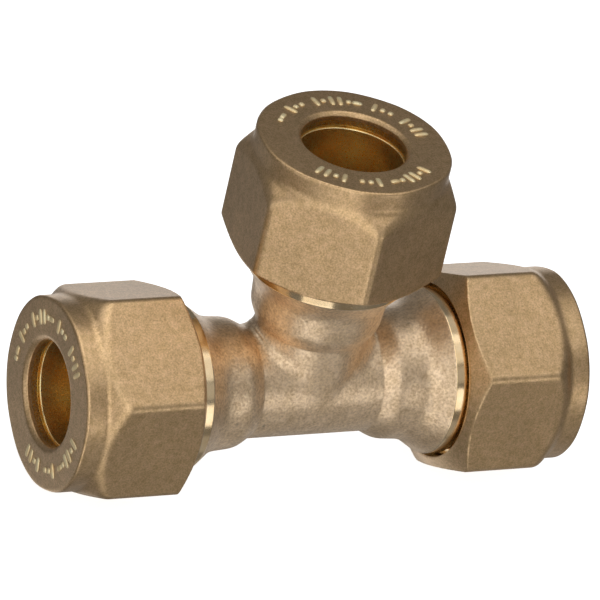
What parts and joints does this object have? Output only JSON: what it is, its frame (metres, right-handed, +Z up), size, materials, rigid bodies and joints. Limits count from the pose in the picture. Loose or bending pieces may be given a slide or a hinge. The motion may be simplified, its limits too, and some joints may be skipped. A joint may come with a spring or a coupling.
{
  "type": "compression tee fitting",
  "caption": "Forged brass compression tee for three tubes: a tee body with male threads, hexagonal nuts with round collars, and loose olives inside.",
  "frame": {"origin": "on the surface that the fitting rests on, straight below the point where the tube axes cross", "axes": "+X along the run, +Z up the branch, outward from its nut"},
  "size_m": [0.0534, 0.0216, 0.0375],
  "materials": {
    "tee_brass": "sand-blasted forging, machined bright on the ring, threads and bores",
    "nut_brass": "fine matt forging, machined bright inside",
    "olive_brass": "bright turned"
  },
  "bodies": {
    "tee_body": {"tee_body": "tee_brass"},
    "left_olive": {"left_olive": "olive_brass"},
    "left_nut": {"left_nut": "nut_brass"},
    "right_olive": {"right_olive": "olive_brass"},
    "right_nut": {"right_nut": "nut_brass"},
    "branch_olive": {"branch_olive": "olive_brass"},
    "branch_nut": {"branch_nut": "nut_brass"}
  },
  "joints": [
    {"name": "left_olive_slide", "type": "slide", "parent": "tee_body", "child": "left_olive", "axis": [-1, 0, 0], "range_m": [0, 0.00401]},
    {"name": "left_nut_turn", "type": "hinge", "parent": "left_olive", "child": "left_nut", "pos_m": [-0.01991, 0, 0.01082], "axis": [-1, 0, 0], "range_deg": [0, 1080]},
    {"name": "right_olive_slide", "type": "slide", "parent": "tee_body", "child": "right_olive", "axis": [1, 0, 0], "range_m": [0, 0.00401]},
    {"name": "right_nut_turn", "type": "hinge", "parent": "right_olive", "child": "right_nut", "pos_m": [0.01991, 0, 0.01082], "axis": [1, 0, 0], "range_deg": [0, 1080]},
    {"name": "branch_olive_slide", "type": "slide", "parent": "tee_body", "child": "branch_olive", "axis": [0, 0, 1], "range_m": [0, 0.00401]},
    {"name": "branch_nut_turn", "type": "hinge", "parent": "branch_olive", "child": "branch_nut", "pos_m": [0, 0, 0.03073], "axis": [0, 0, 1], "range_deg": [0, 1080]}
  ],
  "couplings": [
    {"joint": "left_olive_slide", "follows": "left_nut_turn", "m_per_rad": 0.00021279},
    {"joint": "right_olive_slide", "follows": "right_nut_turn", "m_per_rad": 0.00021279},
    {"joint": "branch_olive_slide", "follows": "branch_nut_turn", "m_per_rad": 0.00021279}
  ]
}
